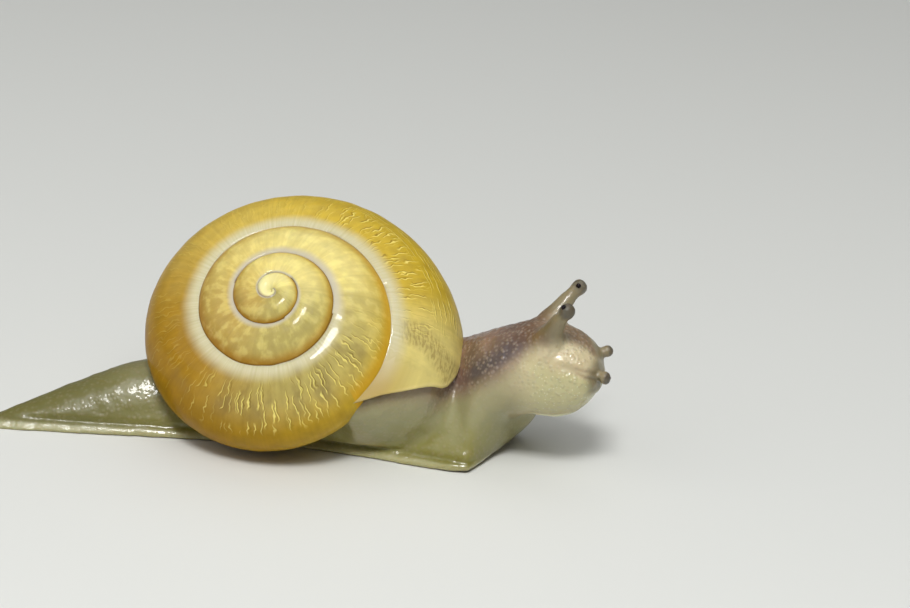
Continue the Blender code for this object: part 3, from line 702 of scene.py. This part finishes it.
def shapeSkin(piece):
    s = skinSizes
    points, normals = pointsOf(piece), normalsOf(piece)
    x, y, z = points.T
    ribs = np.array(bodySizes["ribs"])
    low, high = np.interp(x, ribs[:, 0], ribs[:, 2]), np.interp(x, ribs[:, 3], ribs[:, 5])
    share = (z - low) / (high - low)
    feelerAway, feelerAlong = np.full(len(x), 1e9), np.zeros(len(x))
    for path in feelerSizes["paths"].values():
        away, along = distanceTo(points, np.array([pathPoint(path, step) for step in np.linspace(0, 1, 40)]))
        closer = away < feelerAway
        feelerAway[closer], feelerAlong[closer] = away[closer], along[closer]
    feeler = (1 - blend(feelerAway, 0.7, 1.3)) * blend(feelerAlong, 0.12, 0.5)
    under = blend(-normals[:, 2], 0.55, 0.85)

    # the pieces of the pattern
    neck = blend(share - 0.05 * (x - 8.5), 0.57, 0.80) * blend(x, 5.8, 8.2) * (1 - blend(x, 11.0, 12.8))
    brow = blend(share, 0.90, 0.99) * blend(x, 12.5, 13.1) * (1 - blend(x, 15.1, 15.4)) * (1 - feeler)
    crest = blend(share, 0.84, 0.98) * blend(x, 10.0, 11.6) * (1 - blend(x, 12.2, 12.9))
    head = blend(x + 0.35 * z, 11.8, 14.2)
    rimAway = np.abs(normals[:, 2] + 0.86)
    frontRim = (1 - blend(rimAway, 0.03, 0.08)) * blend(x, 11.6, 12.4) * (1 - blend(z, 4.9, 5.3)) * (z > 0.3)
    footRim = (1 - blend(z, 0.25, 0.55)) * (1 - blend(x, 10.0, 11.2)) * (1 - under)
    lobeTop = z + 0.42 * (x - 13.9)
    lobe = blend(x, 10.8, 12.4) * (1 - blend(lobeTop, 5.2 + 0.85 * blend(x, 12.6, 13.8), 6.32))
    tail = 1 - blend(x, -12.0, -5.0)
    knobbly = np.clip(0.14 + 0.80 * neck + 0.24 * head * (1 - lobe) - 0.2 * feeler, 0.0, 1.0) * (1 - under)

    # folds, tubercles, the furrow over the foot's edge, the grooves of the head and the step of its sole
    fold = np.array([noise.noise(Vector(p) * s["foldRows"]) for p in points])
    knob = np.array([0.42 - noise.voronoi(Vector(p) * s["knobRows"])[0][0] for p in points])
    off = (z > 0.03) * (1 - 0.7 * feeler)
    moved = off * (s["foldRise"] * fold + s["knobRise"] * knob * knobbly)
    height, width, depth = s["edgeGroove"]
    furrow = (1 - blend(x, 8.6, 10.0)) * blend(x, -16.5, -14) * (1 - under)
    moved -= depth * np.exp(-((z - height) / width) ** 2) * furrow
    # lines along the lip and cheek grooves, which carry painted shade
    creaseShade = np.zeros(len(x))
    for path in (s["lipGroove"], otherSide(s["lipGroove"])):
        away, along = distanceTo(points, spotsAlong(path, s["lipSpots"]))
        moved -= 0.16 * np.exp(-(away / 0.15) ** 2) * blend(along, 0.0, 0.4)
        moved += 0.05 * np.exp(-((away - 0.4) / 0.3) ** 2)
        creaseShade = np.maximum(creaseShade, np.exp(-(away / 0.10) ** 2) * blend(along, 0.1, 0.4))
    for path in (s["cheekGroove"], otherSide(s["cheekGroove"])):
        away, along = distanceTo(points, spotsAlong(path, s["cheekSpots"]))
        moved -= 0.10 * np.exp(-(away / 0.13) ** 2) * blend(along, 0.0, 0.4)
        creaseShade = np.maximum(creaseShade, np.exp(-(away / 0.10) ** 2) * blend(along, 0.1, 0.6))
    raised = blend(x, 10.4, 11.6) * (1 - blend(z, 4.8, 5.3))
    ridge = s["rimRise"] * np.exp(-((normals[:, 2] + 0.86) / 0.07) ** 2)
    moved += raised * (ridge - s["soleStep"] * blend(-normals[:, 2], 0.90, 0.97))
    movePoints(piece, points + normals * moved[:, None])

    keepValues(piece, "pattern", np.stack([neck, np.maximum(crest, brow), head], -1))
    keepValues(piece, "margins", np.stack([np.maximum(frontRim, 0.35 * footRim), lobe, under], -1))
    clear = blend(feelerAlong, 0.80, 0.92) * (feelerAway < 0.8)
    keepValues(piece, "ends", np.stack([feeler, clear, tail], -1))
    # painted shadow on the skin under the shell's lip
    lipAngle = np.linspace(0, 2 * math.pi, 60)
    lipShadow = 1 - blend(distanceTo(points, tubePoints(lipTurn(lipAngle), lipAngle))[0], 0.1, 1.3)
    band = np.exp(-((share - 0.05 * (x - 8.5) - 0.82) / 0.09) ** 2)
    keepValues(piece, "tones", np.stack([lipShadow, band, creaseShade], -1))


def growSkin():
    parts = [growBody(), growMantle()]
    parts += [growFeeler(name, path) for name, path in feelerSizes["paths"].items()]
    selectOnly(*parts)
    bpy.ops.object.join()
    piece = parts[0]
    piece.name = "skin"
    piece.data.name = "skin"
    applyModifier(piece, 'REMESH', mode='VOXEL', voxel_size=bodySizes["voxel"])
    group = piece.vertex_groups.new(name="joins")
    for number, point in enumerate(pointsOf(piece)):
        weight = blend(point[0], -4.0, 0.0) * (1 - blend(point[0], 11.0, 12.0)) * blend(point[2], 0.3, 1.3)
        group.add([number], float(weight), 'REPLACE')
    applyModifier(piece, 'SMOOTH', factor=0.5, iterations=skinSizes["joinSmoothing"], vertex_group="joins")
    piece.vertex_groups.clear()
    applyModifier(piece, 'SMOOTH', factor=0.5, iterations=skinSizes["smoothing"])
    shapeSkin(piece)
    return piece


def skinMaterial():
    # Slime-wet flesh: light sinks in and comes out warm, and the wet film gives sharp highlights
    material, tree, shader = newMaterial("wet snail skin")
    place = addNode(tree, 'ShaderNodeTexCoord')
    read = {}
    for name in ("pattern", "margins", "ends", "tones"):
        values = addNode(tree, 'ShaderNodeAttribute', attribute_name=name)
        read[name] = addNode(tree, 'ShaderNodeSeparateXYZ', {0: values.outputs["Vector"]}).outputs
    neck, crest, head = read["pattern"]
    rim, lobe, under = read["margins"]
    feeler, clear, tail = read["ends"]
    shade, band, creaseShade = read["tones"]

    # tubercles about 0.24 mm apart, granules under 0.2 mm, soft clouds some 2 mm wide and fine ones of 0.4 mm
    knobs = addNode(tree, 'ShaderNodeTexVoronoi', {"Vector": place.outputs["Object"], "Scale": 4200.0})
    grains = addNode(tree, 'ShaderNodeTexVoronoi', {"Vector": place.outputs["Object"], "Scale": 5200.0})
    cloud = addNode(tree, 'ShaderNodeTexNoise',
                    {"Vector": place.outputs["Object"], "Scale": 520.0, "Detail": 3.0})
    fine = addNode(tree, 'ShaderNodeTexNoise',
                   {"Vector": place.outputs["Object"], "Scale": 2600.0, "Detail": 3.0})
    parts = addNode(tree, 'ShaderNodeSeparateXYZ', {0: place.outputs["Object"]})

    # the flank's olive, darker towards the floor: partly its own colour, partly painted shade
    rise = addNode(tree, 'ShaderNodeMapRange', {0: parts.outputs[2], 1: 0.0, 2: 0.006})
    clouded = addNode(tree, 'ShaderNodeMath', {0: cloud, 1: 0.30, 2: rise}, operation='MULTIPLY_ADD')
    flank = addNode(tree, 'ShaderNodeValToRGB', {0: clouded}, stops=(
        (0.12, "#625E12"), (0.30, "#807B3E"), (0.60, "#928E64"), (1.0, "#A29975")))

    def layer(share, strength, colour, below):
        dose = addNode(tree, 'ShaderNodeMath', {0: share, 1: strength}, operation='MULTIPLY')
        return addNode(tree, 'ShaderNodeMix', {0: dose, 6: below, 7: colour}, data_type='RGBA').outputs[2]

    neckBrown = addNode(tree, 'ShaderNodeValToRGB', {0: cloud}, stops=((0.35, "#624B40"), (0.65, "#8A6D5E")))
    neckTone = addNode(tree, 'ShaderNodeMix', {0: band, 6: neckBrown, 7: "#463B45"},
                       data_type='RGBA').outputs[2]
    cheekTone = addNode(tree, 'ShaderNodeValToRGB', {0: cloud},
                        stops=((0.35, "#BEB08C"), (0.65, "#D0C3A0"))).outputs[0]
    # the tail dark olive: its own greyish skin darkened by painted shade
    colour = layer(tail, 0.85, "#636034", flank.outputs[0])
    colour = layer(head, 0.9, cheekTone, colour)
    colour = layer(lobe, 0.85, "#B7B285", colour)
    colour = layer(neck, 0.92, neckTone, colour)
    colour = layer(crest, 0.8, "#6C4E34", colour)
    # painted shadow under the shell's lip, browner further back and pinkish further forward
    ahead = addNode(tree, 'ShaderNodeMapRange', {0: parts, 1: 0.0040, 2: 0.0065})
    shadeTone = addNode(tree, 'ShaderNodeMix', {0: ahead, 6: "#6E4A08", 7: "#8E6E5A"}, data_type='RGBA')
    colour = layer(shade, 0.75, shadeTone.outputs[2], colour)
    # painted shade in the lip and cheek grooves
    colour = layer(creaseShade, 0.55, "#8E7452", colour)

    # pale tubercles stand out on the dark neck, and less on the rest
    dots = addNode(tree, 'ShaderNodeMapRange', {0: knobs.outputs["Distance"], 1: 0.56, 2: 0.10}, **smooth)
    darkest = addNode(tree, 'ShaderNodeMath', {0: neck, 1: crest}, operation='MAXIMUM')
    dotDose = addNode(tree, 'ShaderNodeMapRange', {0: darkest, 3: 0.14, 4: 0.46})
    dotted = addNode(tree, 'ShaderNodeMath', {0: dots, 1: dotDose}, operation='MULTIPLY')
    colour = layer(dotted, 1.0, "#A89888", colour)
    specks = addNode(tree, 'ShaderNodeMapRange', {0: grains.outputs["Distance"], 1: 0.26, 2: 0.12}, **smooth)
    grainy = addNode(tree, 'ShaderNodeMath', {0: lobe, 1: rim}, operation='MAXIMUM')
    speckled = addNode(tree, 'ShaderNodeMath', {0: specks, 1: grainy}, operation='MULTIPLY')
    colour = layer(speckled, 0.45, "#DCDDBE", colour)
    colour = layer(under, 0.6, "#A08C5A", colour)
    colour = layer(rim, 0.85, "#E4E0B4", colour)
    colour = layer(feeler, 0.75, "#675D42", colour)
    colour = layer(clear, 0.8, "#7C7464", colour)
    tree.links.new(colour, shader.inputs["Base Color"])

    knobRise = addNode(tree, 'ShaderNodeMapRange', {0: knobs.outputs["Distance"], 1: 0.6, 2: 0.1}, **smooth)
    relief = addNode(tree, 'ShaderNodeMath', {0: fine, 1: 0.5, 2: knobRise}, operation='MULTIPLY_ADD')
    rough = addNode(tree, 'ShaderNodeMath', {0: darkest, 1: head}, operation='MAXIMUM')
    roughShare = addNode(tree, 'ShaderNodeMapRange', {0: rough, 3: 0.2, 4: 1.0})
    calm = addNode(tree, 'ShaderNodeMapRange', {0: feeler, 3: 1.0, 4: 0.35})
    share = addNode(tree, 'ShaderNodeMath', {0: roughShare, 1: calm}, operation='MULTIPLY')
    eased = addNode(tree, 'ShaderNodeMath', {0: relief, 1: share}, operation='MULTIPLY')
    bump = addNode(tree, 'ShaderNodeBump', {"Height": eased, "Strength": 0.6, "Distance": 0.00005})
    tree.links.new(bump.outputs[0], shader.inputs["Normal"])
    tree.links.new(bump.outputs[0], shader.inputs["Coat Normal"])
    glassy = addNode(tree, 'ShaderNodeMath', {0: clear, 1: 0.55}, operation='MULTIPLY')
    tree.links.new(glassy.outputs[0], shader.inputs["Transmission Weight"])
    shader.inputs["Roughness"].default_value = 0.38
    shader.inputs["IOR"].default_value = 1.38
    # less of the wet film on the tail and the feelers
    drier = addNode(tree, 'ShaderNodeMath', {0: feeler, 1: 0.6}, operation='MULTIPLY')
    driest = addNode(tree, 'ShaderNodeMath', {0: drier, 1: tail}, operation='MAXIMUM')
    film = addNode(tree, 'ShaderNodeMapRange', {0: driest, 3: 0.6, 4: 0.15})
    tree.links.new(film.outputs[0], shader.inputs["Coat Weight"])
    shader.inputs["Coat Roughness"].default_value = 0.06
    shader.inputs["Subsurface Weight"].default_value = 0.45
    shader.inputs["Subsurface Radius"].default_value = (1.0, 0.62, 0.38)
    shader.inputs["Subsurface Scale"].default_value = 0.0005
    return material


# ---- eyes ----

def growEye(side):
    low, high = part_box("eye_" + side)
    radius = (high - low).length / 2 / math.sqrt(3) / millimetre
    bpy.ops.object.select_all(action='DESELECT')
    bpy.ops.mesh.primitive_uv_sphere_add(segments=32, ring_count=20, radius=radius,
                                         location=(low + high) / 2 / millimetre)
    piece = bpy.context.object
    piece.name = "eye_spot_" + side
    bpy.ops.object.transform_apply(location=True)
    return piece


def eyeMaterial():
    material, tree, shader = newMaterial("glossy black eye")
    place = addNode(tree, 'ShaderNodeTexCoord')
    cloud = addNode(tree, 'ShaderNodeTexNoise', {"Vector": place.outputs["Object"], "Scale": 6000.0})
    tones = addNode(tree, 'ShaderNodeValToRGB', {0: cloud.outputs["Fac"]},
                    stops=((0.3, "#0A0709"), (0.7, "#1E1418")))
    tree.links.new(tones.outputs[0], shader.inputs["Base Color"])
    shader.inputs["Roughness"].default_value = 0.08
    shader.inputs["Specular IOR Level"].default_value = 0.15
    return material


# ---- stage, light and camera ----

stageSizes = {
    "lens": 110.0, "distance": 147.9, "elevation": math.radians(20.0), "roll": math.radians(4.5),
    "aim": (7.48, 0.138, 7.522),
    # name, bearing from the front, rise, distance, width and height of the softbox, power
    "lights": (("window", math.radians(-4), math.radians(52), 0.30, (0.070, 0.060), 0.58),
               ("key", math.radians(12), math.radians(58), 0.40, (0.30, 0.24), 0.48),
               ("fill", math.radians(-62), math.radians(35), 0.35, (0.30, 0.30), 0.22),
               ("top", math.radians(150), math.radians(66), 0.45, (0.50, 0.40), 0.35)),
    "world": 0.17,
}


def buildStage():
    s = stageSizes
    bpy.ops.object.select_all(action='DESELECT')
    bpy.ops.mesh.primitive_plane_add(size=1.2, location=(0, 0, 0))
    floor = bpy.context.object
    floor.name = "floor"
    material, tree, shader = newMaterial("pale studio paper")
    shader.inputs["Base Color"].default_value = linearColour("#D9DAD6")
    shader.inputs["Roughness"].default_value = 0.7
    floor.data.materials.append(material)

    away = Vector((0, math.cos(s["elevation"]), -math.sin(s["elevation"])))
    upright = Vector((0, math.sin(s["elevation"]), math.cos(s["elevation"])))
    right = Vector((math.cos(s["roll"]), 0, 0)) + upright * math.sin(s["roll"])
    up = upright * math.cos(s["roll"]) - Vector((math.sin(s["roll"]), 0, 0))
    turn = Matrix((right, up, -away)).transposed()
    bpy.ops.object.camera_add()
    camera = bpy.context.object
    camera.data.lens = s["lens"]
    camera.data.sensor_width = 36.0
    camera.data.clip_start, camera.data.clip_end = 0.005, 10.0
    place = (Vector(s["aim"]) - away * s["distance"]) * millimetre
    camera.matrix_world = Matrix.Translation(place) @ turn.to_4x4()
    bpy.context.scene.camera = camera

    for name, bearing, rise, reach, size, power in s["lights"]:
        towards = Vector((math.sin(bearing) * math.cos(rise), -math.cos(bearing) * math.cos(rise),
                          math.sin(rise)))
        bpy.ops.object.light_add(type='AREA', location=towards * reach)
        light = bpy.context.object
        light.name = name
        light.data.shape = 'RECTANGLE'
        light.data.size, light.data.size_y = size
        light.data.energy = power
        light.rotation_mode = 'QUATERNION'
        light.rotation_quaternion = towards.to_track_quat('Z', 'Y')
    bpy.context.scene.view_settings.view_transform = 'Standard'     # keeps the golds as rich as they are
    world = bpy.data.worlds.new("studio")
    bpy.context.scene.world = world
    world.use_nodes = True
    world.node_tree.nodes["Background"].inputs[0].default_value = linearColour("#E6E8E6")
    world.node_tree.nodes["Background"].inputs[1].default_value = s["world"]


buildStage()
print("stage set")
shell = growShell()
finishPiece(shell, shellMaterial(), "shell", "shell")
print("shell grown:", len(shell.data.polygons), "faces")
skin = growSkin()
finishPiece(skin, skinMaterial(), "skin", "mantle_collar", "tail", "foot_rear", "foot_middle", "neck", "head",
            "foot_front", "lips", *feelerSizes["paths"])
print("skin grown:", len(skin.data.polygons), "faces")
eyeLook = eyeMaterial()
for side in ("right", "left"):
    finishPiece(growEye(side), eyeLook, "eye", "eye_" + side)
print("eyes set")
